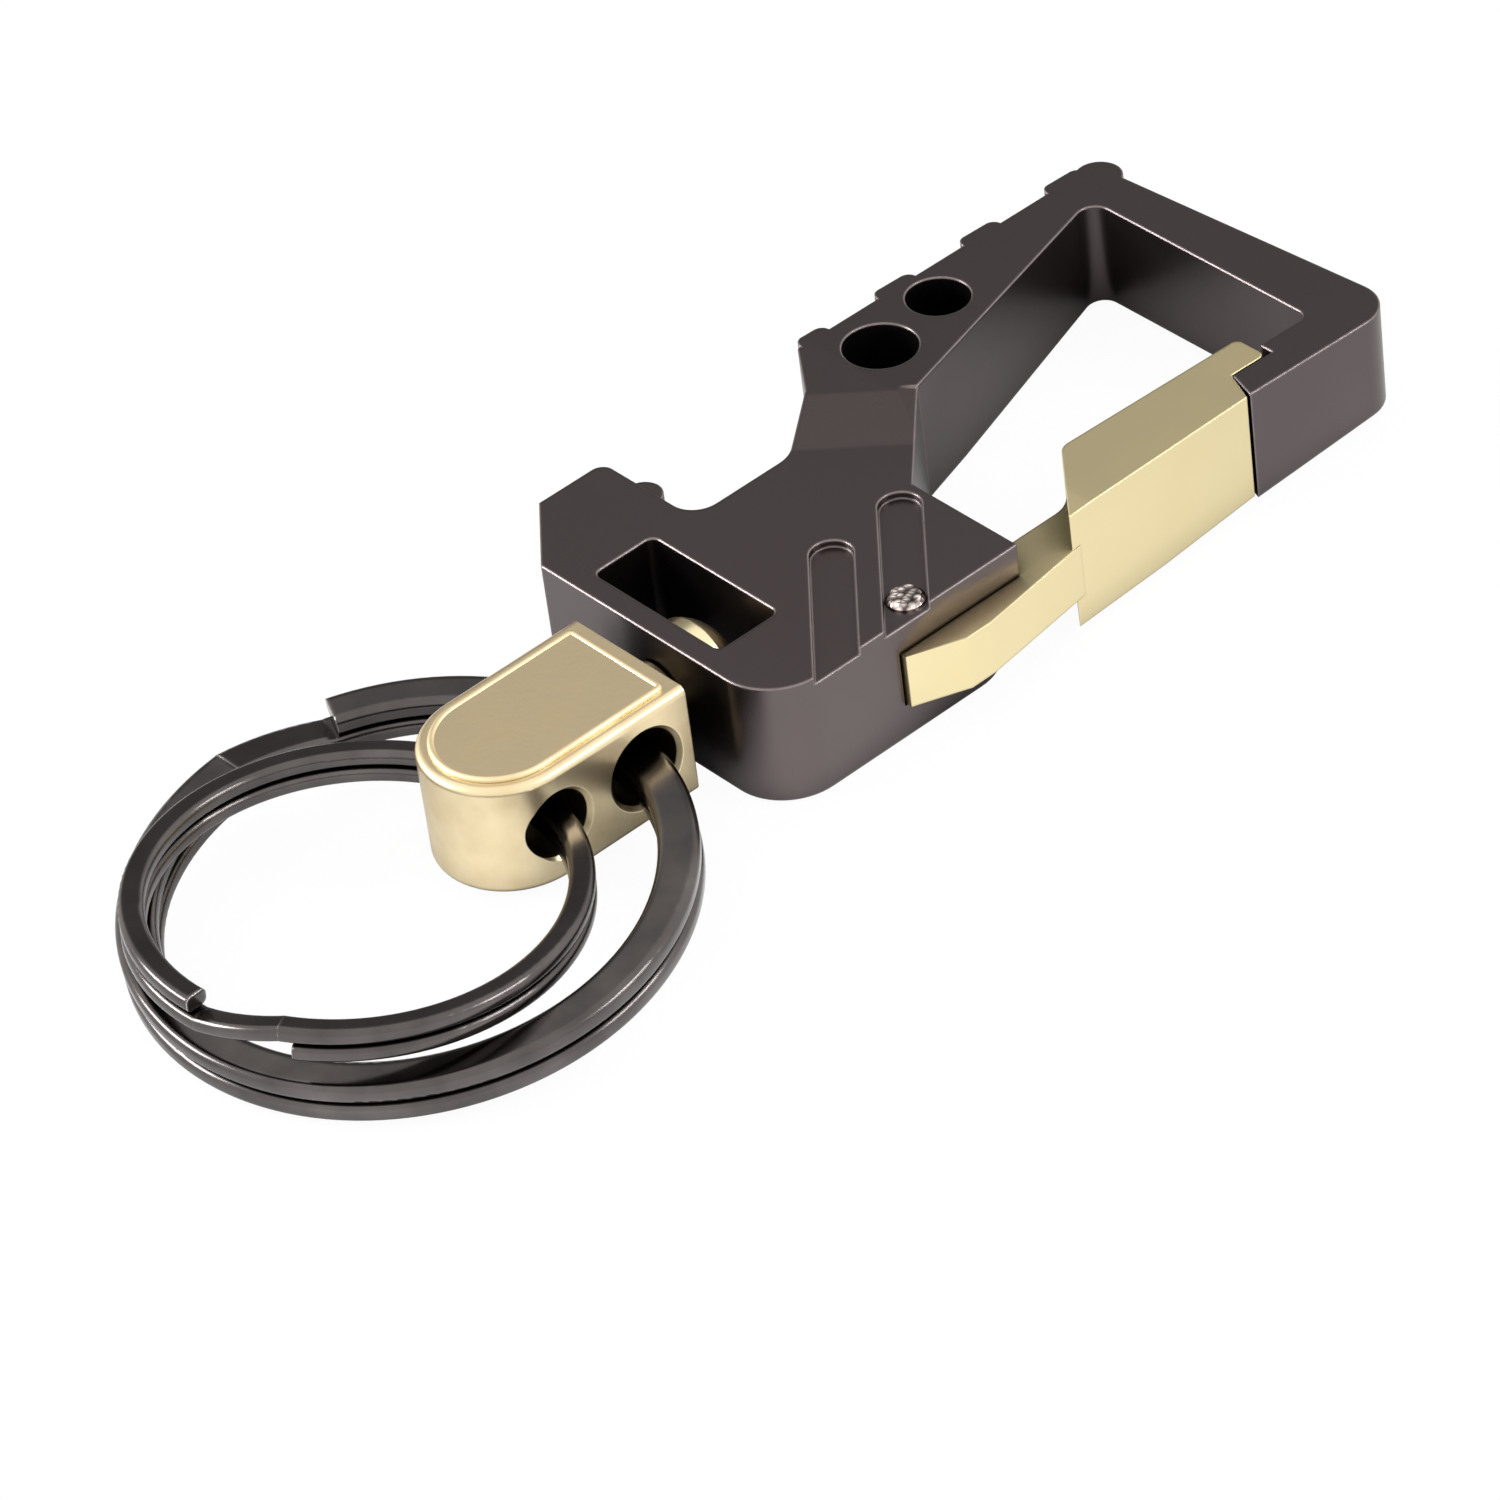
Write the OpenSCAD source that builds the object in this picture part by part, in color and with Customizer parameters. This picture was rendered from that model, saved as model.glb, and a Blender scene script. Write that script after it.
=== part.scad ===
// Keychain hook with a bottle opener notch, a sprung gate, a swivel and two split rings.
// Rest on the flat underside of the block: origin at its middle, X along the hook, Z up.

/* [Body] */
// thickness of the block
body_t = 8.7; // [7:0.1:11]
// width of the block
body_w = 26; // [22:0.5:32]
// length of the block
block_l = 20.5; // [18:0.5:26]
// length from the end face to the far bar's outer face
body_l = 54.1; // [48:0.1:62]
// corner cut beside the opener, along the end face
end_chamfer = 4.9; // [3:0.1:6]
// corner cut beside the opener, along the back edge
back_chamfer = 4.1; // [2.5:0.1:5]
// rounding of the block's front corner
front_r = 4; // [2:0.1:5]

/* [Bottle opener] */
// distance of the notch wall from the end face
notch_x = 9.4; // [8:0.1:10]
// depth of the notch from the back edge
notch_d = 8.6; // [7:0.1:9.5]
// flat length of the notch floor
notch_floor_l = 8.05; // [7:0.05:9]
// radius of the tooth that lifts the cap
tooth_r = 1.35; // [0.8:0.05:1.8]
// height of the tooth
tooth_t = 7.3; // [4:0.1:7.6]
// distance of the tooth from the back edge
tooth_y = 3.65; // [2.5:0.05:4.5]

/* [Window] */
// thickness of the end wall that carries the swivel
end_wall = 1.6; // [1.4:0.1:2.5]
// window size along the hook
window_l = 4.9; // [4.6:0.1:5.4]
// window size across the block
window_w = 11.6; // [9:0.1:13]
// distance of the window from the front side
window_y = 6.4; // [5:0.1:7]

/* [Hook] */
// width of the arm between block and spine, measured square to it
throat_w = 7.1; // [6:0.1:9]
// length of that arm along X
throat_run = 7; // [5:0.1:9]
// width of the far bar
far_bar_w = 4.9; // [3.5:0.1:6]
// width of the nose that meets the gate
nose_w = 3.3; // [2.6:0.1:4.5]
// length of the nose
nose_l = 8.5; // [7:0.1:10]
// how far the far bar leans inwards at the back
far_lean = 1.9; // [0:0.1:2.4]
// how much the spine climbs to the back along its length
spine_climb = 6.8; // [5:0.1:8]
// rise of the hook's top face above the block
hook_rise = 0.25; // [0.1:0.05:0.6]
// length of the ramp up to the hook
ramp_l = 5.4; // [3:0.1:6]
// how much each face falls away towards the far bar
hook_taper = 1; // [0.2:0.05:1.3]

/* [Grip] */
// spacing of the grip teeth
grip_pitch = 7.75; // [6:0.05:8]
// width of a grip tooth
grip_w = 3.4; // [2:0.1:4]
// height of a grip tooth
grip_h = 0.75; // [0.4:0.05:1.2]

/* [Spine holes] */
// radius of the larger hole
hole_big_r = 2.5; // [2:0.05:2.8]
// radius of the smaller hole
hole_small_r = 2.15; // [1.6:0.05:2.5]
// distance between the two holes along X
hole_pitch = 6.2; // [5.6:0.1:7]

/* [Gate] */
// thickness of the lever inside the slot
lever_t = 3.9; // [3:0.1:4.5]
// gap between the lever and each side of its slot
lever_gap = 0.1; // [0.05:0.05:0.3]
// radius of the pivot pin
pin_r = 1; // [0.8:0.05:1.2]
// running gap of the pin in the lever
pin_gap = 0.04; // [0.02:0.01:0.08]
// radius of the pin's peened heads
pin_head_r = 1.25; // [1.1:0.05:1.35]
// width of the paddle
paddle_w = 5.6; // [4.5:0.1:6.5]

/* [Gate spring] */
// wire radius of the spring
wire_r = 0.2; // [0.15:0.01:0.25]
// middle radius of the spring's curls
coil_r = 1.1; // [0.9:0.05:1.3]
// number of curls
curls = 5; // [4:1:5]

/* [Swivel] */
// width of the swivel block
swivel_w = 10.3; // [9:0.1:12]
// length of the swivel block
swivel_l = 15.6; // [14.8:0.1:18]
// distance of the swivel axis from the front side
swivel_y = 10.8; // [9.5:0.1:12.5]
// gap between the swivel block and the end face
neck_l = 1.9; // [1.2:0.1:3]
// radius of the neck
neck_r = 2.1; // [1.9:0.05:2.6]
// radius of the spindle in the end wall
spindle_r = 1.7; // [1.4:0.05:1.8]
// running gap of the spindle
spindle_gap = 0.08; // [0.03:0.01:0.1]
// radius of the domed cap in the window
cap_r = 3.3; // [2.6:0.1:3.6]
// radius of the hole for the large ring
ring_hole_big_r = 2.6; // [2.5:0.05:2.8]
// radius of the hole for the small ring
ring_hole_small_r = 2.3; // [2.2:0.05:2.4]

/* [Large split ring] */
// outer diameter
large_od = 35.5; // [35:0.1:36]
// width of the flat wire
large_band = 2.6; // [2.4:0.05:2.65]
// thickness of one coil
large_coil_t = 1.3; // [1.1:0.05:1.35]

/* [Small split ring] */
// outer diameter
small_od = 28.4; // [28:0.1:28.8]
// width of the flat wire
small_band = 1.6; // [1.4:0.05:1.65]
// thickness of one coil
small_coil_t = 1.05; // [0.8:0.05:1.1]

/* [Hidden] */
$fn = 96;
over = 1;
seat = 0.01;
diag = sqrt(2);
corner_share = 0.2;

// body outline, measured from the end face and the front side
notch_y = body_w - notch_d;
notch_end = notch_x + notch_floor_l;
mouth_r = 0.9;
notch_r = 1.9;
throat_r = 2.5;
grip_drop = 0.95;
grip_climb = 0.8;
grip_y = body_w - grip_drop;
grip_top = grip_y + grip_climb;
grip_r = 0.7;
grip_end = 2.8;
root_back = 2.3;
root_in = 0.3;
throat_bar = 7.85;
throat_in = notch_end - notch_y + throat_bar * diag;
spine_x = block_l + throat_run;
root_x = spine_x - root_back;
spine_y = spine_x - throat_in;
knee = [spine_x - throat_w / diag, spine_y + throat_w / diag];
far_in = body_l - far_bar_w;
far_top = body_l - far_lean;
grip_count = 1 + floor((far_top - root_x - grip_end) / grip_pitch);
far_r = 2.7;
tip_r = 1.6;
tip_in = 0.65;
tip_drop = 1.1;
inner_r = 0.9;
corner_fillet = 1.2;
nose_x = far_in - nose_l;
nose_slant = 0.7;
lip_l = 4.2;
lip_w = 2.2;
lip_slope = 0.35;
window_r = 0.6;

// hook faces
ramp_band = 1.3;
band_lip = 0.05;
hook_x = spine_x - ramp_band;
under_in = 4.5;
under_x = spine_x + under_in;
throat_s = (spine_x + spine_y) / diag;
ramp_back = 5.762;
ramp_s = throat_s - ramp_back;

// grooves in the top face
groove_a = 49;
groove_r = 1.4;
groove_d = 0.5;
groove_share_1 = [0.6073, 0.3115];
groove_share_2 = [0.9024, 0.3231];
groove_1 = [block_l * groove_share_1.x, body_w * groove_share_1.y];
groove_2 = [block_l * groove_share_2.x, body_w * groove_share_2.y];

// lever slot and pivot
mid_z = body_t / 2;
slot_t = lever_t + 2 * lever_gap;
pin_y = 1.8;
pin_x = groove_2.x - (groove_2.y - pin_y) / tan(groove_a);
hub_r = 2.3;
hub_gap = 0.25;
slot_back = 2.46;
slot_x = pin_x - slot_back;
slot_y1 = 5.4;
slot_y2 = 8;
slot_bend = 1.8;
pin_head_t = 0.45;
pin_head_c = 0.3;
tail_gap = 0.15;
tail_drop = 0.45;
thumb_x = 1.4;
thumb_drop = 1.95;
thumb_flat = 2;
arm_in = 2.75;
paddle_out = 3.8;
paddle_x = block_l + paddle_out;
paddle_drop = 0.7;
paddle_top = 0.05;
paddle_under = 0.3;
nose_gap = 0.3;
paddle_a = 50;
paddle_r = 1.3;
tab_l = 3.3;
tab_y = 2.4;
tab_r = 0.5;
arm_fillet = 2.2;

// spring between the lever and a pocket behind it
spring_in = 4.24;
spring_x = pin_x + spring_in;
spring_gap = 0.06;
pocket_gap = 0.2;
pocket_d = 2.4;
spring_y0 = arm_in + wire_r + spring_gap;
pocket_end = slot_y1 + pocket_d;
spring_y1 = pocket_end - wire_r - spring_gap;
spring_l = spring_y1 - spring_y0;
curl_rings = 8;
wire_sides = 6;

// spine holes
hole_past = 1.4;
hole_in = 4.7;
hole_x = spine_x + hole_past;
hole_y = body_w - hole_in;
hole_climb = 1.25;

// swivel
swivel_drop = 0.1;
swivel_t = body_t - 2 * swivel_drop;
swivel_r = swivel_w / 2;
swivel_end = neck_l + swivel_l;
edge_r = 0.5;
panel_in = 1.05;
panel_t = 0.2;
hole_a = 3.65;
hole_b = 10.6;
lip_c = 0.3;
neck_fillet = 0.5;
shoulder_gap = 0.15;
cap_gap = 0.12;
cap_edge = 1.5;
cap_t = 3.5;
cap_rivet = 2.2;
spindle_x = end_wall + cap_gap + cap_rivet;

// split rings, placed from the hole that carries each
ring_gap = 0.2;
edge_share = 0.36;
crank_a = 24;
crank_lap_a = 0.6;
end_gap_a = 1.5;
lower_gap_a = 3;
floor_gap = 0.05;
large_slack = 0.42;
large_drop = 0.36;
large_turn_a = 4.7;
large_roll_a = 0.8;
large_end_a = 61.3;
large_half = large_coil_t + ring_gap / 2;
large_reach = (large_od - large_band) / 2 - large_slack;
large_fall = (mid_z - large_drop - large_half - floor_gap) / (large_reach + large_od / 2);
stack_gap = 0.27;
small_slack = 0.44;
small_drop = 0.17;
small_turn_a = 6.7;
small_roll_a = 0.42;
small_end_a = 179.3;
small_half = small_coil_t + ring_gap / 2;
small_reach = (small_od - small_band) / 2 - small_slack;

// where the small ring's outline crosses the inside of the large ring, from above
large_in = large_od / 2 - large_band;
large_mid = hole_a + large_reach * cos(large_turn_a);
small_mid = hole_b + small_reach * cos(small_turn_a);
apart = max(abs(small_mid - large_mid), seat);
cross_in = min((large_in * large_in - small_od * small_od / 4 + apart * apart) / (2 * apart), large_in);
cross_x = large_mid + cross_in;
stack = stack_gap + small_drop + small_half + large_half - large_drop;
small_climb = (stack - large_fall * (cross_x - hole_a)) / (cross_x - hole_b);

body_color = [0.24, 0.22, 0.23];
gold_color = [0.8, 0.72, 0.5];
ring_color = [0.22, 0.21, 0.22];
steel_color = [0.7, 0.7, 0.7];

function turn(v, a) = [v.x * cos(a) - v.y * sin(a), v.x * sin(a) + v.y * cos(a)];

// patch between a corner's two edges, at angles a and b, and the arc that rounds it
module corner_patch(p, a, b, r) {
  half = (b - a) / 2;
  t = r / tan(half);
  mid = p + turn([r / sin(half), 0], a + half);
  difference() {
    polygon([p - corner_share * (mid - p), p + turn([t, 0], a), mid, p + turn([t, 0], b)]);
    translate(mid) circle(r);
  }
}

// grip teeth on the sloping back edge
module grip_teeth() {
  run = far_top - root_x;
  for (i = [0 : grip_count - 1]) {
    end = root_x + grip_end + i * grip_pitch;
    x = max(end - grip_w, root_x + root_in);
    w = end - x;
    y = grip_y + grip_climb * (x - root_x) / run;
    translate([x, y]) {
      translate([0, -over]) square([w, over + grip_h - grip_r]);
      translate([grip_r, -over]) square([w - 2 * grip_r, over + grip_h]);
      translate([grip_r, grip_h - grip_r]) circle(grip_r);
      translate([w - grip_r, grip_h - grip_r]) circle(grip_r);
    }
  }
}

module block_outline() {
  knee_a = atan2(knee.y - notch_y, knee.x - notch_end);
  difference() {
    polygon([[0, 0], [block_l, 0], [block_l, block_l - throat_in], [spine_x, spine_y], knee,
             [notch_end, notch_y], [notch_x, notch_y], [notch_x, body_w],
             [back_chamfer, body_w], [0, body_w - end_chamfer]]);
    corner_patch([0, 0], 0, 90, front_r);
    corner_patch([notch_x, body_w], 180, 270, mouth_r);
  }
  corner_patch([notch_x, notch_y], 0, 90, notch_r);
  corner_patch([notch_end, notch_y], knee_a, 180, throat_r);
}

module hook_outline() {
  slope_a = atan2(spine_climb, far_in - spine_x);
  spine_end = spine_y + spine_climb;
  lean_a = 90 + atan2(far_lean, grip_top);
  difference() {
    polygon([[spine_x, spine_y], [far_in, spine_end], [far_in, nose_w], [nose_x + lip_l, nose_w],
             [nose_x + lip_l, lip_w], [nose_x + nose_slant, lip_w], [nose_x, 0], [body_l, 0],
             [far_top, grip_top], [root_x, grip_y], knee]);
    corner_patch([body_l, 0], lean_a, 180, far_r);
  }
  corner_patch([far_in, nose_w], 90, 180, inner_r);
  corner_patch([far_in, spine_end], 180 + slope_a, 270, corner_fillet);
  grip_teeth();
  translate([far_top - tip_in, grip_top - tip_drop]) circle(tip_r);
}

module window_plan() {
  difference() {
    translate([end_wall, window_y]) square([window_l, window_w]);
    for (i = [0, 1]) for (j = [0, 1])
      translate([end_wall + i * window_l, window_y + j * window_w])
        mirror([i, 0]) mirror([0, j]) corner_patch([0, 0], 0, 90, window_r);
  }
}

// slab between the hook's falling faces, inset by low and high
module hook_slab(low, high) {
  x1 = body_l + over;
  slope = hook_taper / (body_l - hook_x);
  top = body_t + hook_rise - high;
  translate([0, body_w + over, 0]) rotate([90, 0, 0]) linear_extrude(body_w + 4 * over)
    polygon([[0, low], [under_x, low], [x1, low + slope * (x1 - under_x)],
             [x1, top - slope * (x1 - hook_x)], [hook_x, top], [0, top]]);
}

// space under the ramp that climbs from the block to the hook
module ramp_wedge() {
  s0 = ramp_s - ramp_l;
  s1 = throat_s + over;
  rotate([0, 0, 45]) translate([0, body_w, 0]) rotate([90, 0, 0]) linear_extrude(2 * body_w)
    polygon([[s0, 0], [s1, 0], [s1, body_t + hook_rise * (s1 - ramp_s) / ramp_l],
             [s0, body_t - hook_rise]]);
}

// bevel along the throat's inner edge
module band_wedge() {
  d0 = throat_in / diag;
  top = body_t + hook_rise;
  foot = body_t + band_lip;
  rotate([0, 0, 45]) rotate([0, -90, 180]) linear_extrude(2 * body_l)
    polygon([[0, d0 - body_l], [0, d0 + ramp_band], [2 * foot - top, d0 + ramp_band],
             [top, d0 - ramp_band], [top + over, d0 - ramp_band], [top + over, d0 - body_l]]);
}

module pill(p, length) {
  translate(p) circle(groove_r);
  translate(p) rotate(groove_a) translate([-length, -groove_r]) square([length, 2 * groove_r]);
}

module grooves() {
  translate([0, 0, body_t - groove_d]) linear_extrude(groove_d + over) {
    pill(groove_1, body_w);
    pill(groove_2, body_w);
  }
}

module slot_plan() {
  translate([pin_x, pin_y]) circle(hub_r + hub_gap);
  polygon([[slot_x, -over], [block_l + over, -over], [block_l + over, slot_y2],
           [pin_x + slot_bend, slot_y1], [pin_x, pin_y + hub_r], [slot_x, pin_y]]);
}

module tooth() {
  translate([notch_x, body_w - tooth_y, (body_t - tooth_t) / 2])
    cylinder(h = tooth_t, r = tooth_r);
}

module body() {
  color(body_color)
  difference() {
    union() {
      linear_extrude(body_t) block_outline();
      intersection() {
        translate([0, 0, mid_z]) linear_extrude(body_t) block_outline();
        hook_slab(0, 0);
        ramp_wedge();
        band_wedge();
      }
      intersection() {
        linear_extrude(body_t + 2 * over) hook_outline();
        hook_slab(0, 0);
      }
      tooth();
    }
    translate([0, 0, -over]) linear_extrude(body_t + 2 * over) window_plan();
    translate([-over, swivel_y, mid_z]) rotate([0, 90, 0])
      cylinder(h = end_wall + 2 * over, r = spindle_r + spindle_gap);
    grooves();
    translate([0, 0, mid_z - slot_t / 2]) linear_extrude(slot_t) slot_plan();
    translate([0, 0, -over]) linear_extrude(mid_z) corner_patch([block_l, 0], 90, 180, front_r);
    translate([pin_x, pin_y, -over]) cylinder(h = body_t + 2 * over, r = pin_r + seat);
    translate([pin_x, pin_y, -over]) cylinder(h = groove_d + over, r = pin_head_r + seat);
    translate([spring_x, pocket_end, mid_z]) rotate([90, 0, 0])
      cylinder(h = pocket_end - slot_y1, r = coil_r + wire_r + pocket_gap);
    translate([hole_x, hole_y, -over]) cylinder(h = body_t + 4 * over, r = hole_big_r);
    translate([hole_x + hole_pitch, hole_y + hole_climb, -over])
      cylinder(h = body_t + 4 * over, r = hole_small_r);
  }
}

// lever arm: tail, thumb bend, hub and the stretch to the paddle
module arm_plan() {
  tail_x = slot_x + tail_gap;
  difference() {
    union() {
      translate([pin_x, pin_y]) circle(hub_r);
      polygon([[tail_x, pin_y], [tail_x, -tail_drop], [pin_x + thumb_x, -thumb_drop],
               [pin_x + thumb_x + thumb_flat, -thumb_drop], [paddle_x + paddle_drop, -paddle_drop],
               [paddle_x + arm_in, arm_in], [pin_x, arm_in]]);
      arm_corner();
    }
    translate([pin_x, pin_y]) circle(pin_r + pin_gap);
  }
}

// fillet between the arm and the paddle's slanted end
module arm_corner() {
  reach = (arm_in + paddle_drop) / tan(paddle_a);
  corner_patch([paddle_x + reach, arm_in], paddle_a, 180, arm_fillet);
}

module paddle_plan() {
  end_x = nose_x - nose_gap;
  top_y = paddle_w - paddle_drop;
  reach = paddle_w / tan(paddle_a);
  tab_x = end_x + nose_slant + tab_l;
  difference() {
    polygon([[paddle_x, -paddle_drop], [end_x, 0], [end_x + nose_slant + lip_slope, tab_y],
             [tab_x, tab_y], [tab_x, top_y], [paddle_x + reach, top_y]]);
    corner_patch([paddle_x + reach, top_y], -180 + paddle_a, 0, paddle_r);
    corner_patch([tab_x, tab_y], 90, 180, tab_r);
    corner_patch([tab_x, top_y], 180, 270, tab_r);
  }
}

module gate_lever() {
  color(gold_color) {
    translate([0, 0, mid_z - lever_t / 2]) linear_extrude(lever_t) arm_plan();
    intersection() {
      linear_extrude(body_t + 2 * over) paddle_plan();
      hook_slab(paddle_under, paddle_top);
    }
  }
}

// pin with a peened head at each end, sunk in the grooves
module gate_pin() {
  z0 = groove_d;
  z1 = body_t - groove_d;
  color(steel_color) translate([pin_x, pin_y, 0]) rotate_extrude()
    polygon([[0, z0 - pin_head_t], [pin_head_r - pin_head_c, z0 - pin_head_t],
             [pin_head_r, z0 - pin_head_t + pin_head_c], [pin_head_r, z0 - seat], [pin_r, z0 - seat],
             [pin_r, z1 + seat], [pin_head_r, z1 + seat], [pin_head_r, z1 + pin_head_t - pin_head_c],
             [pin_head_r - pin_head_c, z1 + pin_head_t], [0, z1 + pin_head_t]]);
}

// spring points: closed end curls and open curls between them
pitch_l = spring_l / curls;
function coil_point(i) =
  let (a = 360 * i / curl_rings, y = spring_y0 + spring_l * i / (curls * curl_rings))
  [spring_x + coil_r * cos(a), y, mid_z + coil_r * sin(a)];
function wire_ring(i) =
  let (a = 360 * i / curl_rings, c = coil_point(i))
  [for (k = [0 : wire_sides - 1]) let (b = 360 * k / wire_sides)
    [c.x + wire_r * cos(b) * cos(a), c.y + wire_r * sin(b), c.z + wire_r * cos(b) * sin(a)]];
coil_count = curls * curl_rings + 1;
coil_path = [for (i = [0 : coil_count - 1]) coil_point(i)];
coil_skin = [for (i = [0 : coil_count - 1]) each wire_ring(i)];
coil_gap = min([for (i = [0 : coil_count - 1]) for (j = [i + curl_rings / 2 : 1 : coil_count - 1])
  norm(coil_path[i] - coil_path[j])]) - 2 * wire_r;
echo(spring_least_gap = coil_gap);
function quad(a, b, c, d) = [[a, c, b], [a, d, c]];
function skin_faces(n, sides) = concat(
  [for (k = [1 : sides - 2]) [0, k, k + 1]],
  [for (i = [0 : n - 2]) for (k = [0 : sides - 1]) let (m = (k + 1) % sides)
    each quad(i * sides + k, i * sides + m, (i + 1) * sides + m, (i + 1) * sides + k)],
  [for (k = [1 : sides - 2]) [(n - 1) * sides, (n - 1) * sides + k + 1, (n - 1) * sides + k]]);

module gate_spring() {
  color(steel_color) polyhedron(coil_skin, skin_faces(coil_count, wire_sides), convexity = 10);
}

// half of the swivel block's cross-section, from the middle plane outwards
module swivel_half() {
  h = swivel_t / 2 - panel_t;
  for (s = [-1, 1]) scale([1, s]) {
    square([swivel_r - edge_r, h]);
    square([swivel_r, h - edge_r]);
    translate([swivel_r - edge_r, h - edge_r]) circle(edge_r);
  }
}

// raised panel on both faces, a rim's width in from the outline
module swivel_panel() {
  straight = swivel_l - swivel_r;
  r = swivel_r - panel_in;
  translate([-neck_l - straight, swivel_y, mid_z - swivel_t / 2]) linear_extrude(swivel_t) {
    circle(r);
    translate([0, -r]) square([straight - panel_in, 2 * r]);
  }
}

module swivel_shape() {
  straight = swivel_l - swivel_r;
  translate([-neck_l - straight, swivel_y, mid_z]) {
    rotate([90, 0, 90]) linear_extrude(straight) {
      swivel_half();
      mirror([1, 0]) swivel_half();
    }
    rotate([0, 0, 90]) rotate_extrude(angle = 180) intersection() {
      swivel_half();
      translate([0, -body_t]) square([swivel_w, 2 * body_t]);
    }
  }
  swivel_panel();
}

// hole along Y with a flared lip at each side
module ring_hole(x, r) {
  translate([-neck_l - x, swivel_y, mid_z]) rotate([90, 0, 0]) {
    cylinder(h = swivel_w + 2 * over, r = r, center = true);
    for (s = [-1, 1]) scale([1, 1, s]) translate([0, 0, swivel_r - lip_c])
      cylinder(h = lip_c + seat, r1 = r, r2 = r + lip_c + seat);
  }
}

module swivel_block() {
  color(gold_color)
  difference() {
    union() {
      swivel_shape();
      translate([0, swivel_y, mid_z]) rotate([0, 90, 0]) {
        translate([0, 0, -neck_l - over]) cylinder(h = neck_l + over - shoulder_gap, r = neck_r);
        translate([0, 0, -neck_l]) cylinder(h = neck_fillet, r1 = neck_r + neck_fillet, r2 = neck_r);
        translate([0, 0, -neck_l]) cylinder(h = neck_l + spindle_x, r = spindle_r);
      }
    }
    ring_hole(hole_a, ring_hole_big_r);
    ring_hole(hole_b, ring_hole_small_r);
  }
}

// domed cap riveted on the spindle inside the window
module swivel_cap() {
  x0 = end_wall + cap_gap;
  dome_r = (cap_r * cap_r + (cap_t - cap_edge) * (cap_t - cap_edge)) / (2 * (cap_t - cap_edge));
  color(gold_color)
  translate([x0, swivel_y, mid_z]) rotate([0, 90, 0]) difference() {
    union() {
      cylinder(h = cap_edge, r = cap_r);
      intersection() {
        cylinder(h = cap_t, r = cap_r);
        translate([0, 0, cap_t - dome_r]) sphere(dome_r);
      }
    }
    translate([0, 0, -over]) cylinder(h = spindle_x - x0 + over + seat, r = spindle_r + seat);
  }
}

// section of one coil: flat wire with rounded edges, resting on z
module wire_section(r_out, band, coil_t, e, z) {
  translate([r_out - band, z]) {
    translate([e, 0]) square([band - 2 * e, coil_t]);
    translate([0, e]) square([band, coil_t - 2 * e]);
    for (x = [e, band - e]) for (y = [e, coil_t - e]) translate([x, y]) circle(e);
  }
}

// split ring lying flat around the origin: lower coil, crank, upper coil
module split_ring(od, band, coil_t, end_a) {
  r = od / 2;
  e = coil_t * edge_share;
  rise = coil_t + ring_gap;
  half = coil_t + ring_gap / 2;
  start = end_a + end_gap_a;
  top_start = start + crank_a;
  low_start = top_start + lower_gap_a;
  run = 2 * (r - band / 2) * sin(crank_a / 2);
  rotate(low_start) rotate_extrude(angle = 360 + start - low_start)
    wire_section(r, band, coil_t, e, -half);
  rotate(top_start) rotate_extrude(angle = 360 + end_a - top_start)
    wire_section(r, band, coil_t, e, rise - half);
  rotate(start + crank_a / 2) rotate([atan(rise / run), 0, 0]) rotate(-crank_a / 2 - crank_lap_a)
    rotate_extrude(angle = crank_a + 2 * crank_lap_a) wire_section(r, band, coil_t, e, -coil_t / 2);
}

// large ring hangs from its hole with the far side on the floor
module large_split_ring() {
  color(ring_color)
  translate([-neck_l - hole_a, swivel_y, mid_z - large_drop])
    rotate([large_roll_a, 0, 0]) rotate([0, -asin(large_fall), 0]) rotate(large_turn_a)
      translate([-large_reach, 0, 0]) split_ring(large_od, large_band, large_coil_t, large_end_a);
}

// small ring lies on the large one
module small_split_ring() {
  color(ring_color)
  translate([-neck_l - hole_b, swivel_y, mid_z - small_drop])
    rotate([small_roll_a, 0, 0]) rotate([0, atan(small_climb), 0]) rotate(small_turn_a)
      translate([-small_reach, 0, 0]) split_ring(small_od, small_band, small_coil_t, small_end_a);
}

module placed() {
  translate([-block_l / 2, -body_w / 2, 0]) children();
}

placed() body();
placed() gate_lever();
placed() gate_pin();
placed() gate_spring();
placed() swivel_block();
placed() swivel_cap();
placed() large_split_ring();
placed() small_split_ring();
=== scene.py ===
import bmesh
import bpy
import math
from mathutils import Matrix, Vector


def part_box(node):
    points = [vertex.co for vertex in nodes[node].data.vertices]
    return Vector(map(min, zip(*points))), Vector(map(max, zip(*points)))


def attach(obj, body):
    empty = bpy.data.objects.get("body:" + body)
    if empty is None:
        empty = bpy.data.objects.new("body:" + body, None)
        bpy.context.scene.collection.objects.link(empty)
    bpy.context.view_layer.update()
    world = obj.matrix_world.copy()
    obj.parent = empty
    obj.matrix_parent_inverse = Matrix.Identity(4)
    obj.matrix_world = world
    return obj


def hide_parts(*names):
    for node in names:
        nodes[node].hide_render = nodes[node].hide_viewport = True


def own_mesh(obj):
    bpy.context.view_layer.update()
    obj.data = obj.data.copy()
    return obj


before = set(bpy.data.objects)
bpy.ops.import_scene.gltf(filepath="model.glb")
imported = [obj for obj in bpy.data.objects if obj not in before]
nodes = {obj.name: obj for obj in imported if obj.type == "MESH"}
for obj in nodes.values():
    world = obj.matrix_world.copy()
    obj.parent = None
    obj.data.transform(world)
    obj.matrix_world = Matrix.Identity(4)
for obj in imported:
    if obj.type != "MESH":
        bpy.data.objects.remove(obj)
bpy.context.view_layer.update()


screenCurve = {"full": 255, "knee": 0.04045, "slope": 12.92, "lift": 0.055, "power": 2.4}
mixFirst, mixSecond, mixResult = 6, 7, 2  # a Mix node's colour sockets, whose names aren't unique


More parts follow.
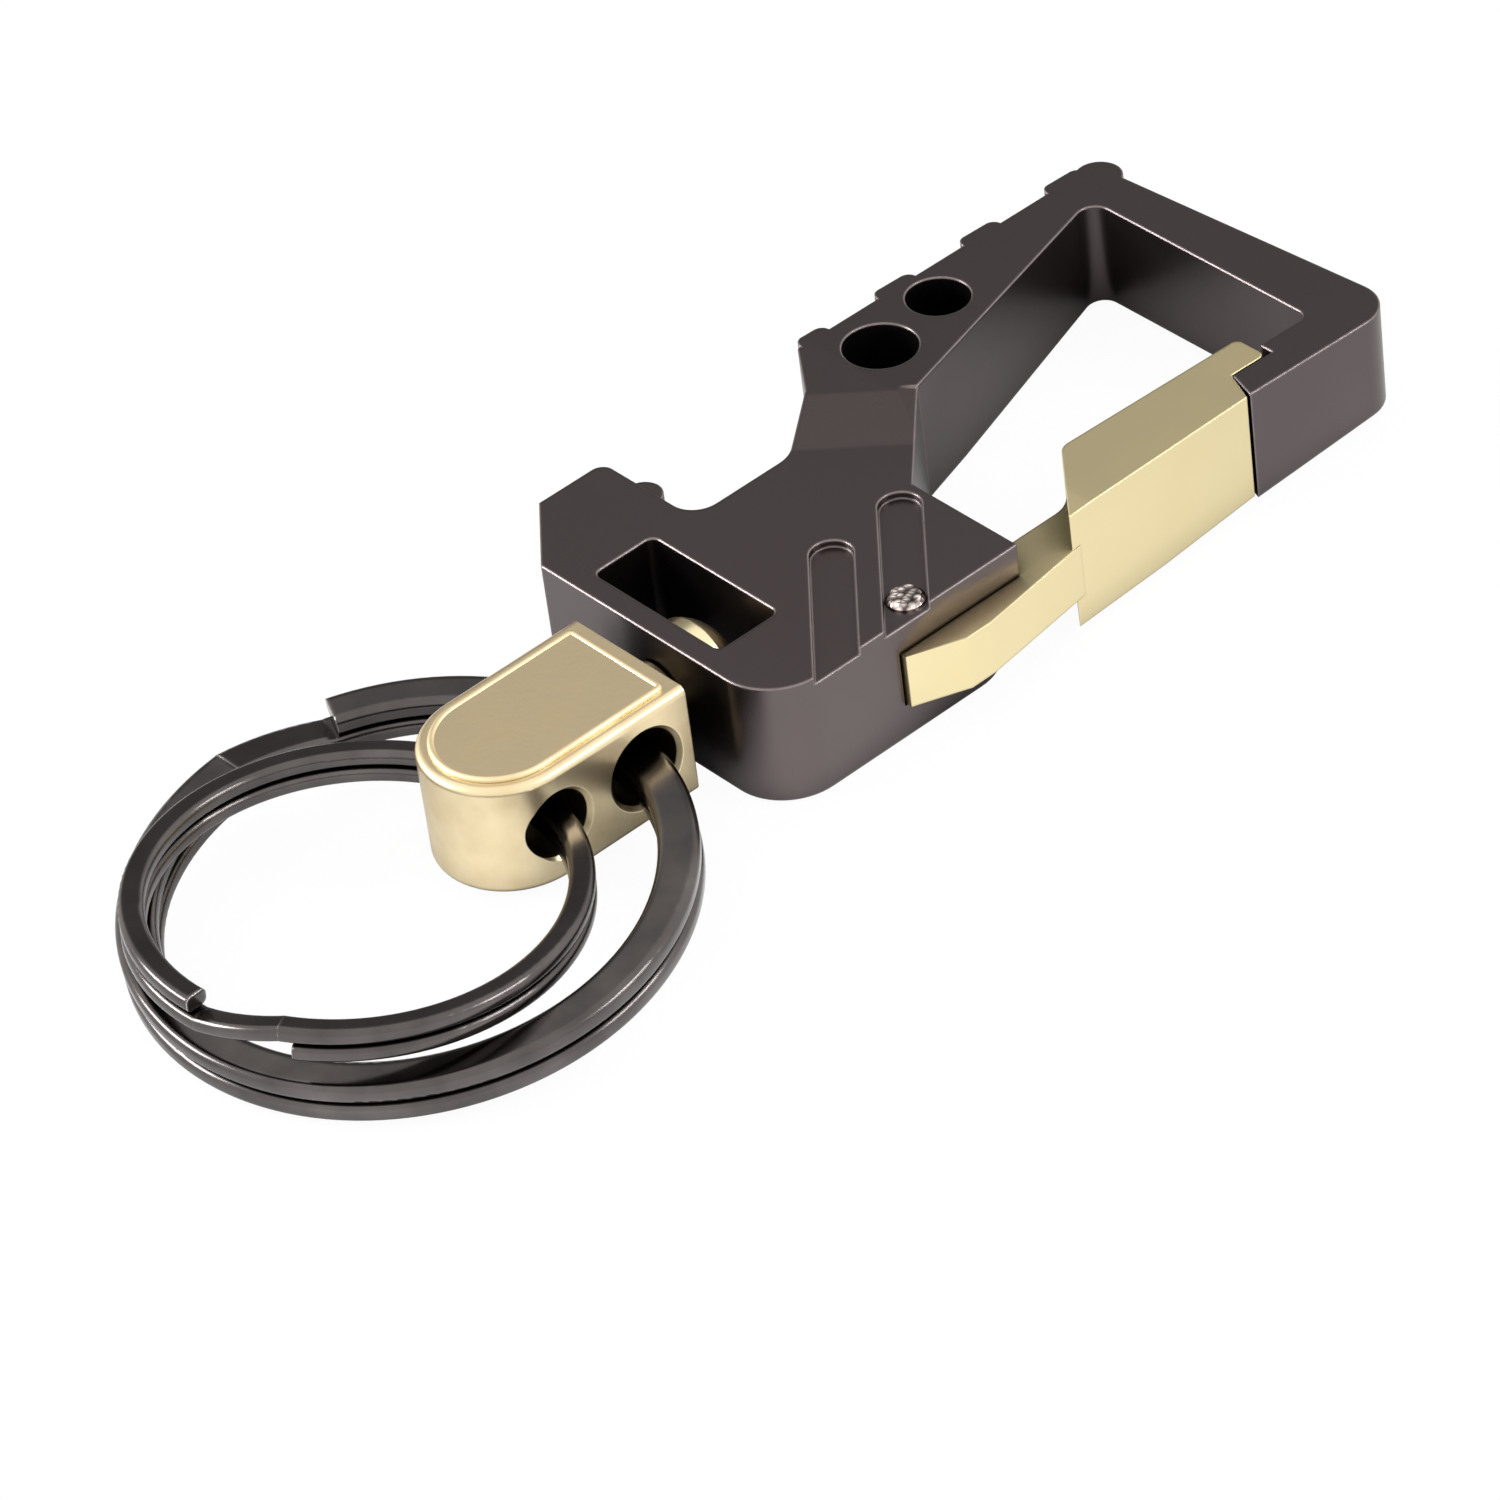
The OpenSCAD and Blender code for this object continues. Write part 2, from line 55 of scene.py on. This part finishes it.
def linear(red, green, blue):
    # screen colour 0 to 255 as the linear colour Blender works in
    lift = screenCurve["lift"]
    color = []
    for level in (red, green, blue):
        share = level / screenCurve["full"]
        if share <= screenCurve["knee"]:
            color.append(share / screenCurve["slope"])
        else:
            color.append(((share + lift) / (1 + lift)) ** screenCurve["power"])
    return tuple(color) + (1.0,)


def startMaterial(name):
    material = bpy.data.materials.new(name)
    material.use_nodes = True
    material.node_tree.nodes.clear()
    return material, material.node_tree


def addNode(tree, kind, **values):
    # a value goes to the input of that name, or else to the node's own setting
    node = tree.nodes.new(kind)
    for key, value in values.items():
        if key in node.inputs:
            node.inputs[key].default_value = value
        else:
            setattr(node, key, value)
    return node


def addRange(tree, start, end, low=0.0, high=1.0):
    # start to end in becomes low to high out
    return addNode(tree, "ShaderNodeMapRange", **{
        "From Min": start, "From Max": end, "To Min": low, "To Max": high,
    })


def addMix(tree, first=None, second=None):
    mix = addNode(tree, "ShaderNodeMix", data_type="RGBA")
    for socket, color in ((mixFirst, first), (mixSecond, second)):
        if color:
            mix.inputs[socket].default_value = color
    return mix


# colours, fineness of patches, chips and grain, gloss and its drift, rounding seen at edges (m),
# wear and painted highlight on them, and how painted shade in a hollow of that size (m) darkens
# the metal, with topFrom and topTo added where a face looks up
metalLooks = {
    "gunmetal": {
        "color": linear(109, 100, 99), "tint": linear(96, 88, 89),
        "wearGlintColor": linear(228, 216, 216), "patch": 90.0, "chips": 700.0, "grain": 4200.0,
        "bump": 0.08, "roughness": 0.29, "roughnessSpan": 0.05, "edge": 0.0003,
        "wearGlintReach": 0.0002, "wearGlintFrom": 0.05, "wearGlintTo": 0.35, "wearGlintShare": 0.24,
        "cavity": 0.005, "cavityFrom": 0.15, "cavityTo": 0.6, "topFrom": 0.0, "topTo": 0.0,
    },
    "champagneGold": {
        "color": linear(238, 224, 180), "tint": linear(231, 214, 166),
        "wearGlintColor": linear(250, 240, 208), "patch": 120.0, "chips": 700.0, "grain": 4800.0,
        "bump": 0.08, "roughness": 0.33, "roughnessSpan": 0.05, "edge": 0.0002,
        "wearGlintReach": 0.00015, "wearGlintFrom": 0.05, "wearGlintTo": 0.35, "wearGlintShare": 0.12,
        "cavity": 0.0055, "cavityFrom": 0.0, "cavityTo": 0.62, "topFrom": 0.64, "topTo": 0.37,
    },
    "castBrass": {
        "color": linear(247, 232, 194), "tint": linear(216, 193, 150),
        "wearGlintColor": linear(255, 246, 214), "patch": 380.0, "chips": 900.0, "grain": 3200.0,
        "bump": 0.16, "roughness": 0.34, "roughnessSpan": 0.08, "edge": 0.00012,
        "wearGlintReach": 0.00018, "wearGlintFrom": 0.05, "wearGlintTo": 0.3, "wearGlintShare": 0.7,
        "cavity": 0.006, "cavityFrom": 0.15, "cavityTo": 0.66, "topFrom": 0.0, "topTo": 0.0,
    },
    "blackNickel": {
        "color": linear(117, 112, 110), "tint": linear(60, 57, 58),
        "wearGlintColor": linear(244, 240, 238), "patch": 260.0, "chips": 600.0, "grain": 3600.0,
        "bump": 0.03, "roughness": 0.17, "roughnessSpan": 0.07, "edge": 0.00036,
        "wearGlintReach": 0.00014, "wearGlintFrom": 0.34, "wearGlintTo": 0.56, "wearGlintShare": 0.6,
        "cavity": 0.003, "cavityFrom": 0.15, "cavityTo": 0.72, "topFrom": 0.0, "topTo": 0.0,
    },
    "springWire": {
        "color": linear(176, 174, 170), "tint": linear(150, 148, 146),
        "wearGlintColor": linear(210, 208, 206), "patch": 400.0, "chips": 900.0, "grain": 6000.0,
        "bump": 0.04, "roughness": 0.3, "roughnessSpan": 0.08, "edge": 0.00005,
        "wearGlintReach": 0.00003, "wearGlintFrom": 0.1, "wearGlintTo": 0.4, "wearGlintShare": 0.4,
        "cavity": 0.002, "cavityFrom": 0.15, "cavityTo": 0.6, "topFrom": 0.0, "topTo": 0.0,
    },
}
# painted light: the cap's copy of the lever's gold is lighter and takes less painted shade in
# hollows, making up for the shade of the window it sits in
metalLooks["capGold"] = {
    **metalLooks["champagneGold"], "color": linear(250, 238, 202), "roughness": 0.27,
    "cavity": 0.001, "cavityTo": 0.5, "topFrom": 0.0, "topTo": 0.0,
}
metalLooks["beadBrass"] = {
    **metalLooks["castBrass"], "roughness": 0.5, "wearGlintShare": 0.1, "cavity": 0.002,
}

# for every metal: how chips break up the wear and painted highlight, the darkest the painted shade
# in a hollow gets, and the grain's height
platingLook = {
    "chipFrom": 0.3, "chipTo": 0.7, "chipLeast": 0.6, "hollowLeast": 0.2, "grainHeight": 0.00003,
    "wearGlintSamples": 6, "hollowSamples": 6, "edgeSamples": 8, "driftDetail": 3.0, "fineDetail": 2.0,
}


def wearAndGlintMask(tree, look):
    # wear with painted highlight: above 0 where the surface turns over an edge, rounded normal
    # against the plain one
    link = tree.links.new
    plain = addNode(tree, "ShaderNodeNewGeometry")
    wornAndGlinting = addNode(tree, "ShaderNodeBevel", Radius=look["wearGlintReach"], samples=platingLook["wearGlintSamples"])
    turned = addNode(tree, "ShaderNodeVectorMath", operation="DISTANCE")
    ramp = addRange(tree, look["wearGlintFrom"], look["wearGlintTo"])
    place = addNode(tree, "ShaderNodeTexCoord")
    chips = addNode(tree, "ShaderNodeTexNoise", Scale=look["chips"],
                    Detail=platingLook["fineDetail"])
    uneven = addRange(tree, platingLook["chipFrom"], platingLook["chipTo"],
                      look["wearGlintShare"] * platingLook["chipLeast"], look["wearGlintShare"])
    both = addNode(tree, "ShaderNodeMath", operation="MULTIPLY")
    link(plain.outputs["Normal"], turned.inputs[0])
    link(wornAndGlinting.outputs["Normal"], turned.inputs[1])
    link(turned.outputs["Value"], ramp.inputs["Value"])
    link(place.outputs["Object"], chips.inputs["Vector"])
    link(chips.outputs["Fac"], uneven.inputs["Value"])
    link(ramp.outputs["Result"], both.inputs[0])
    link(uneven.outputs["Result"], both.inputs[1])
    return both.outputs[0]


def hollowShade(tree, look):
    # painted shade: 1 in the open, less in corners and slots, and less still on tops where the look
    # asks for it
    link = tree.links.new
    hollow = addNode(tree, "ShaderNodeAmbientOcclusion", samples=platingLook["hollowSamples"],
                     Distance=look["cavity"])
    depth = addRange(tree, look["cavityFrom"], look["cavityTo"], platingLook["hollowLeast"])
    facing = addNode(tree, "ShaderNodeNewGeometry")
    split = addNode(tree, "ShaderNodeSeparateXYZ")
    up = addNode(tree, "ShaderNodeMath", operation="MAXIMUM")
    up.inputs[1].default_value = 0.0  # walls and undersides keep the plain range
    link(facing.outputs["Normal"], split.inputs[0])
    link(split.outputs["Z"], up.inputs[0])
    ends = (("From Min", "cavityFrom", "topFrom"), ("From Max", "cavityTo", "topTo"))
    for socket, base, rise in ends:
        lift = addNode(tree, "ShaderNodeMath", operation="MULTIPLY_ADD")
        lift.inputs[1].default_value = look[rise]
        lift.inputs[2].default_value = look[base]
        link(up.outputs[0], lift.inputs[0])
        link(lift.outputs[0], depth.inputs[socket])
    link(hollow.outputs["AO"], depth.inputs["Value"])
    return depth.outputs["Result"]


def platedMetal(name):
    # satin plating: slow drift of colour and gloss, fine grain, softened edges, worn edges with
    # painted highlight, and painted shade in hollows
    look = metalLooks[name]
    material, tree = startMaterial(name)
    link = tree.links.new
    place = addNode(tree, "ShaderNodeTexCoord")
    drift = addNode(tree, "ShaderNodeTexNoise", Scale=look["patch"],
                    Detail=platingLook["driftDetail"])
    grain = addNode(tree, "ShaderNodeTexNoise", Scale=look["grain"],
                    Detail=platingLook["fineDetail"])
    mix = addMix(tree, look["color"], look["tint"])
    wornAndGlinting = addMix(tree, second=look["wearGlintColor"])
    dim = addNode(tree, "ShaderNodeVectorMath", operation="SCALE")
    rough = addRange(tree, 0.0, 1.0, look["roughness"] - look["roughnessSpan"],
                     look["roughness"] + look["roughnessSpan"])
    bevel = addNode(tree, "ShaderNodeBevel", Radius=look["edge"],
                    samples=platingLook["edgeSamples"])
    bump = addNode(tree, "ShaderNodeBump", Strength=look["bump"],
                   Distance=platingLook["grainHeight"])
    shader = addNode(tree, "ShaderNodeBsdfPrincipled", Metallic=1.0)
    out = addNode(tree, "ShaderNodeOutputMaterial")
    for texture in (drift, grain):
        link(place.outputs["Object"], texture.inputs["Vector"])
    link(drift.outputs["Fac"], mix.inputs[0])
    link(mix.outputs[mixResult], wornAndGlinting.inputs[mixFirst])
    # edges worn and lightened as painted highlight
    link(wearAndGlintMask(tree, look), wornAndGlinting.inputs[0])
    link(wornAndGlinting.outputs[mixResult], dim.inputs[0])
    # painted shade in hollows and on tops beside walls scales the colour
    link(hollowShade(tree, look), dim.inputs["Scale"])
    link(dim.outputs["Vector"], shader.inputs["Base Color"])
    link(drift.outputs["Fac"], rough.inputs["Value"])
    link(rough.outputs["Result"], shader.inputs["Roughness"])
    link(grain.outputs["Fac"], bump.inputs["Height"])
    link(bevel.outputs["Normal"], bump.inputs["Normal"])
    link(bump.outputs["Normal"], shader.inputs["Normal"])
    link(shader.outputs["BSDF"], out.inputs["Surface"])
    return material


peenLook = {
    "bright": linear(238, 226, 218), "dull": linear(92, 82, 80), "dimples": 2400.0,
    "dullFrom": 0.25, "dullTo": 0.75, "roughness": 0.22, "bump": 0.7, "depth": 0.00012,
}


def peenedSteel():
    # hammered end: small bright and dull dimples
    material, tree = startMaterial("peenedSteel")
    link = tree.links.new
    place = addNode(tree, "ShaderNodeTexCoord")
    dimples = addNode(tree, "ShaderNodeTexVoronoi", Scale=peenLook["dimples"])
    mix = addMix(tree, peenLook["bright"], peenLook["dull"])
    spread = addRange(tree, peenLook["dullFrom"], peenLook["dullTo"])
    bump = addNode(tree, "ShaderNodeBump", Strength=peenLook["bump"], Distance=peenLook["depth"])
    shader = addNode(tree, "ShaderNodeBsdfPrincipled", Metallic=1.0,
                     Roughness=peenLook["roughness"])
    out = addNode(tree, "ShaderNodeOutputMaterial")
    link(place.outputs["Object"], dimples.inputs["Vector"])
    link(dimples.outputs["Distance"], spread.inputs["Value"])
    link(spread.outputs["Result"], mix.inputs[0])
    link(mix.outputs[mixResult], shader.inputs["Base Color"])
    link(dimples.outputs["Distance"], bump.inputs["Height"])
    link(bump.outputs["Normal"], shader.inputs["Normal"])
    link(shader.outputs["BSDF"], out.inputs["Surface"])
    return material


finishes = {
    "body": platedMetal("gunmetal"),
    "gate_lever": platedMetal("champagneGold"),
    "gate_pin": peenedSteel(),
    "gate_spring": platedMetal("springWire"),
    "swivel_block": platedMetal("castBrass"),
    "swivel_cap": platedMetal("capGold"),
    "large_split_ring": platedMetal("blackNickel"),
}
finishes["small_split_ring"] = finishes["large_split_ring"]  # both rings come from one batch
for name, material in finishes.items():
    mesh = nodes[name].data
    if not mesh.materials:
        mesh.materials.append(material)
    for slot in nodes[name].material_slots:
        slot.material = material
print("metals on", len(finishes), "pieces")


coilLook = {"merge": 0.000002, "keep": 0.5}  # keep: share of its length with the gate fully in


def makeCoil():
    # the spring gives way as the gate turns in; a copy of it with merged points and smooth shading
    # rides with the body in place of the part
    source = nodes["gate_spring"]
    mesh = source.data.copy()
    shape = bmesh.new()
    shape.from_mesh(mesh)
    bmesh.ops.remove_doubles(shape, verts=shape.verts, dist=coilLook["merge"])
    bmesh.ops.recalc_face_normals(shape, faces=shape.faces)
    shape.to_mesh(mesh)
    shape.free()
    mesh.shade_smooth()
    coil = bpy.data.objects.new("coilSpring", mesh)
    bpy.context.scene.collection.objects.link(coil)
    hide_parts("gate_spring")
    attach(coil, "body")
    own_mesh(coil)


makeCoil()
print("spring coil made")


beadLook = {
    "inset": 0.00105, "neck": 0.0019, "corner": 0.0003, "radius": 0.00026, "sink": 0.00016,
    "noseSteps": 40, "cornerSteps": 4, "faces": 12,
}
quarterTurn = math.pi / 2


def beadRail(level):
    # outline of the swivel's raised panel: round nose, straight sides, square back
    low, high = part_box("swivel_block")
    half = (high.y - low.y) / 2
    middle = (high.y + low.y) / 2
    centre = low.x + half
    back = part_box("body")[0].x - beadLook["neck"] - beadLook["inset"]
    reach = half - beadLook["inset"]
    corner = beadLook["corner"]
    rail = []
    for step in range(beadLook["noseSteps"] + 1):
        turn = quarterTurn + math.pi * step / beadLook["noseSteps"]
        rail.append((centre + reach * math.cos(turn), middle + reach * math.sin(turn), level))
    for side, start in ((-1, -quarterTurn), (1, 0.0)):
        for step in range(beadLook["cornerSteps"] + 1):
            turn = start + quarterTurn * step / beadLook["cornerSteps"]
            rail.append((
                back - corner + corner * math.cos(turn),
                middle + side * (reach - corner) + corner * math.sin(turn),
                level,
            ))
    return rail


def beadTree(material):
    # a round bead swept along each rail
    tree = bpy.data.node_groups.new("panelBead", "GeometryNodeTree")
    tree.interface.new_socket("Rail", in_out="INPUT", socket_type="NodeSocketGeometry")
    radius = tree.interface.new_socket("Bead Radius", in_out="INPUT", socket_type="NodeSocketFloat")
    around = tree.interface.new_socket("Faces Around", in_out="INPUT", socket_type="NodeSocketInt")
    tree.interface.new_socket("Bead", in_out="OUTPUT", socket_type="NodeSocketGeometry")
    link = tree.links.new
    start = addNode(tree, "NodeGroupInput")
    curve = addNode(tree, "GeometryNodeMeshToCurve")
    ring = addNode(tree, "GeometryNodeCurvePrimitiveCircle")
    sweep = addNode(tree, "GeometryNodeCurveToMesh")
    smooth = addNode(tree, "GeometryNodeSetShadeSmooth")
    real = addNode(tree, "GeometryNodeRealizeInstances")
    paint = addNode(tree, "GeometryNodeSetMaterial", Material=material)
    end = addNode(tree, "NodeGroupOutput")
    link(start.outputs["Rail"], curve.inputs["Mesh"])
    link(start.outputs["Bead Radius"], ring.inputs["Radius"])
    link(start.outputs["Faces Around"], ring.inputs["Resolution"])
    link(curve.outputs["Curve"], sweep.inputs["Curve"])
    link(ring.outputs["Curve"], sweep.inputs["Profile Curve"])
    link(sweep.outputs["Mesh"], smooth.inputs["Geometry"])
    link(smooth.outputs["Geometry"], real.inputs["Geometry"])
    link(real.outputs["Geometry"], paint.inputs["Geometry"])
    link(paint.outputs["Geometry"], end.inputs["Bead"])
    return tree, radius.identifier, around.identifier


def makeBead():
    # one rail under the upper face and one over the lower, each swept to a bead mostly sunk in
    low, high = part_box("swivel_block")
    points, edges = [], []
    for level in (high.z - beadLook["sink"], low.z + beadLook["sink"]):
        rail = beadRail(level)
        first = len(points)
        points += rail
        edges += [(first + i, first + (i + 1) % len(rail)) for i in range(len(rail))]
    railMesh = bpy.data.meshes.new("beadRail")
    railMesh.from_pydata(points, edges, [])
    bead = bpy.data.objects.new("swivelPanelBead", railMesh)
    bpy.context.scene.collection.objects.link(bead)
    tree, radius, around = beadTree(platedMetal("beadBrass"))
    modifier = bead.modifiers.new("bead", "NODES")
    modifier.node_group = tree
    modifier[radius] = beadLook["radius"]
    modifier[around] = beadLook["faces"]
    evaluated = bead.evaluated_get(bpy.context.evaluated_depsgraph_get())
    mesh = bpy.data.meshes.new_from_object(evaluated)
    bead.modifiers.clear()
    bead.data = mesh
    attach(bead, "swivel")


makeBead()
print("bead round the swivel's panel made")


stageSizes = {
    "floor": 3.0, "drop": 0.0002, "shadowShare": 0.05,
    "paper": linear(250, 250, 250), "glow": (1, 1, 1, 1),
    "shade": 0.03, "shadeSamples": 8, "shadeFrom": 0.12, "shadeTo": 0.62,
    "nearX": -0.03, "nearLight": 1.36, "farX": 0.045, "farLight": 0.92,
    "nearY": -0.013, "nearShare": 1.0, "farY": 0.001, "farShare": 0.74,
}


def floorGlow(tree):
    # what metal sees in the floor: painted shadow makes it darker close to the hook, painted light
    # makes it brighter towards the rings and front
    link = tree.links.new
    glow = addNode(tree, "ShaderNodeEmission", Color=stageSizes["glow"])
    near = addNode(tree, "ShaderNodeAmbientOcclusion", samples=stageSizes["shadeSamples"],
                   Distance=stageSizes["shade"])
    fall = addRange(tree, stageSizes["shadeFrom"], stageSizes["shadeTo"])
    place = addNode(tree, "ShaderNodeTexCoord")
    split = addNode(tree, "ShaderNodeSeparateXYZ")
    along = addRange(tree, stageSizes["nearX"], stageSizes["farX"],
                     stageSizes["nearLight"], stageSizes["farLight"])
    across = addRange(tree, stageSizes["nearY"], stageSizes["farY"],
                      stageSizes["nearShare"], stageSizes["farShare"])
    lit = addNode(tree, "ShaderNodeMath", operation="MULTIPLY")
    litToo = addNode(tree, "ShaderNodeMath", operation="MULTIPLY")
    link(near.outputs["AO"], fall.inputs["Value"])
    link(place.outputs["Object"], split.inputs[0])
    link(split.outputs["X"], along.inputs["Value"])
    link(split.outputs["Y"], across.inputs["Value"])
    link(fall.outputs["Result"], lit.inputs[0])
    link(along.outputs["Result"], lit.inputs[1])
    link(lit.outputs[0], litToo.inputs[0])
    link(across.outputs["Result"], litToo.inputs[1])
    link(litToo.outputs[0], glow.inputs["Strength"])
    return glow.outputs[0]


def makeFloor():
    # clear to the camera, glowing in reflections, with a small matte share that keeps the shadow
    half = stageSizes["floor"] / 2
    level = -stageSizes["drop"]
    mesh = bpy.data.meshes.new("floor")
    corners = [
        (-half, -half, level), (half, -half, level), (half, half, level), (-half, half, level),
    ]
    mesh.from_pydata(corners, [], [(0, 1, 2, 3)])
    floor = bpy.data.objects.new("floor", mesh)
    bpy.context.scene.collection.objects.link(floor)
    material, tree = startMaterial("whiteFloor")
    link = tree.links.new
    path = addNode(tree, "ShaderNodeLightPath")
    seen = addNode(tree, "ShaderNodeMath", operation="ADD", use_clamp=True)
    seenToo = addNode(tree, "ShaderNodeMath", operation="ADD", use_clamp=True)
    share = addNode(tree, "ShaderNodeMath", operation="MULTIPLY")
    share.inputs[1].default_value = 1 - stageSizes["shadowShare"]
    matte = addNode(tree, "ShaderNodeBsdfDiffuse", Color=stageSizes["paper"])
    clear = addNode(tree, "ShaderNodeBsdfTransparent")
    pick = addNode(tree, "ShaderNodeMixShader")
    mix = addNode(tree, "ShaderNodeMixShader")
    out = addNode(tree, "ShaderNodeOutputMaterial")
    link(path.outputs["Is Camera Ray"], seen.inputs[0])
    link(path.outputs["Is Glossy Ray"], seen.inputs[1])
    link(seen.outputs[0], seenToo.inputs[0])
    link(path.outputs["Is Transmission Ray"], seenToo.inputs[1])
    link(seenToo.outputs[0], share.inputs[0])
    link(share.outputs[0], mix.inputs[0])
    link(path.outputs["Is Camera Ray"], pick.inputs[0])
    link(floorGlow(tree), pick.inputs[1])
    link(clear.outputs[0], pick.inputs[2])
    link(matte.outputs[0], mix.inputs[1])
    link(pick.outputs[0], mix.inputs[2])
    link(mix.outputs[0], out.inputs["Surface"])
    mesh.materials.append(material)


makeFloor()
print("floor laid")


skyLook = {
    "wall": linear(138, 136, 136), "wallStrength": 1.0,
    "dome": linear(255, 253, 250), "domeStrength": 1.2,
    "backdrop": (1, 1, 1, 1), "backdropStrength": 1.0,
    "wallAt": (0.5716, 0.7532, 0.3256), "edgeFrom": 0.83, "edgeTo": 0.94,
}


def makeSky():
    # bright soft dome with one grey wall behind the hook; white where the camera looks past it
    world = bpy.data.worlds.new("studio")
    bpy.context.scene.world = world
    world.use_nodes = True
    tree = world.node_tree
    tree.nodes.clear()
    link = tree.links.new
    place = addNode(tree, "ShaderNodeTexCoord")
    facing = addNode(tree, "ShaderNodeVectorMath", operation="DOT_PRODUCT")
    facing.inputs[1].default_value = skyLook["wallAt"]
    ramp = addRange(tree, skyLook["edgeFrom"], skyLook["edgeTo"])
    ramp.interpolation_type = "SMOOTHSTEP"
    dome = addNode(tree, "ShaderNodeBackground", Color=skyLook["dome"],
                   Strength=skyLook["domeStrength"])
    wall = addNode(tree, "ShaderNodeBackground", Color=skyLook["wall"],
                   Strength=skyLook["wallStrength"])
    room = addNode(tree, "ShaderNodeMixShader")
    white = addNode(tree, "ShaderNodeBackground", Color=skyLook["backdrop"],
                    Strength=skyLook["backdropStrength"])
    path = addNode(tree, "ShaderNodeLightPath")
    mix = addNode(tree, "ShaderNodeMixShader")
    out = addNode(tree, "ShaderNodeOutputWorld")
    link(place.outputs["Generated"], facing.inputs[0])
    link(facing.outputs["Value"], ramp.inputs["Value"])
    link(ramp.outputs["Result"], room.inputs[0])
    link(dome.outputs[0], room.inputs[1])
    link(wall.outputs[0], room.inputs[2])
    link(path.outputs["Is Camera Ray"], mix.inputs[0])
    link(room.outputs[0], mix.inputs[1])
    link(white.outputs[0], mix.inputs[2])
    link(mix.outputs[0], out.inputs["Surface"])


makeSky()
print("sky and grey wall up")


softBoxes = {
    "rightBox": {"place": (0.36, -0.46, 0.46), "aim": (0, 0, 0), "size": (0.32, 0.1), "power": 1.5},
    "leftBox": {"place": (-0.42, 0.43, 0.31), "aim": (0, 0, 0), "size": (0.34, 0.2), "power": 3.2},
}


def makeSoftBox(name):
    box = softBoxes[name]
    light = bpy.data.lights.new(name, "AREA")
    light.shape = "RECTANGLE"
    light.size, light.size_y = box["size"]
    light.energy = box["power"]
    lamp = bpy.data.objects.new(name, light)
    bpy.context.scene.collection.objects.link(lamp)
    lamp.location = box["place"]
    aim = Vector(box["aim"]) - Vector(box["place"])
    lamp.rotation_euler = aim.to_track_quat("-Z", "Y").to_euler()


for name in softBoxes:
    makeSoftBox(name)
print("studio with", len(softBoxes), "soft boxes")


cameraLook = {
    "place": (-0.22186, -0.28915, 0.28901), "lens": 179.2, "sensor": 36.0, "nearClip": 0.01,
    "right": (0.73672, -0.66784, -0.10609), "up": (0.48727, 0.41552, 0.76807),
    "back": (-0.46886, -0.61754, 0.63153),
}


def makeCamera():
    # placed by the edges of the real hook: its own right, up and back directions
    data = bpy.data.cameras.new("photoCamera")
    data.lens = cameraLook["lens"]
    data.sensor_width = cameraLook["sensor"]
    data.clip_start = cameraLook["nearClip"]
    camera = bpy.data.objects.new("photoCamera", data)
    bpy.context.scene.collection.objects.link(camera)
    turn = Matrix((cameraLook["right"], cameraLook["up"], cameraLook["back"])).transposed()
    camera.matrix_world = Matrix.Translation(cameraLook["place"]) @ turn.to_4x4()
    bpy.context.scene.camera = camera


makeCamera()
print("camera set")
bpy.context.scene.view_settings.view_transform = "Standard"
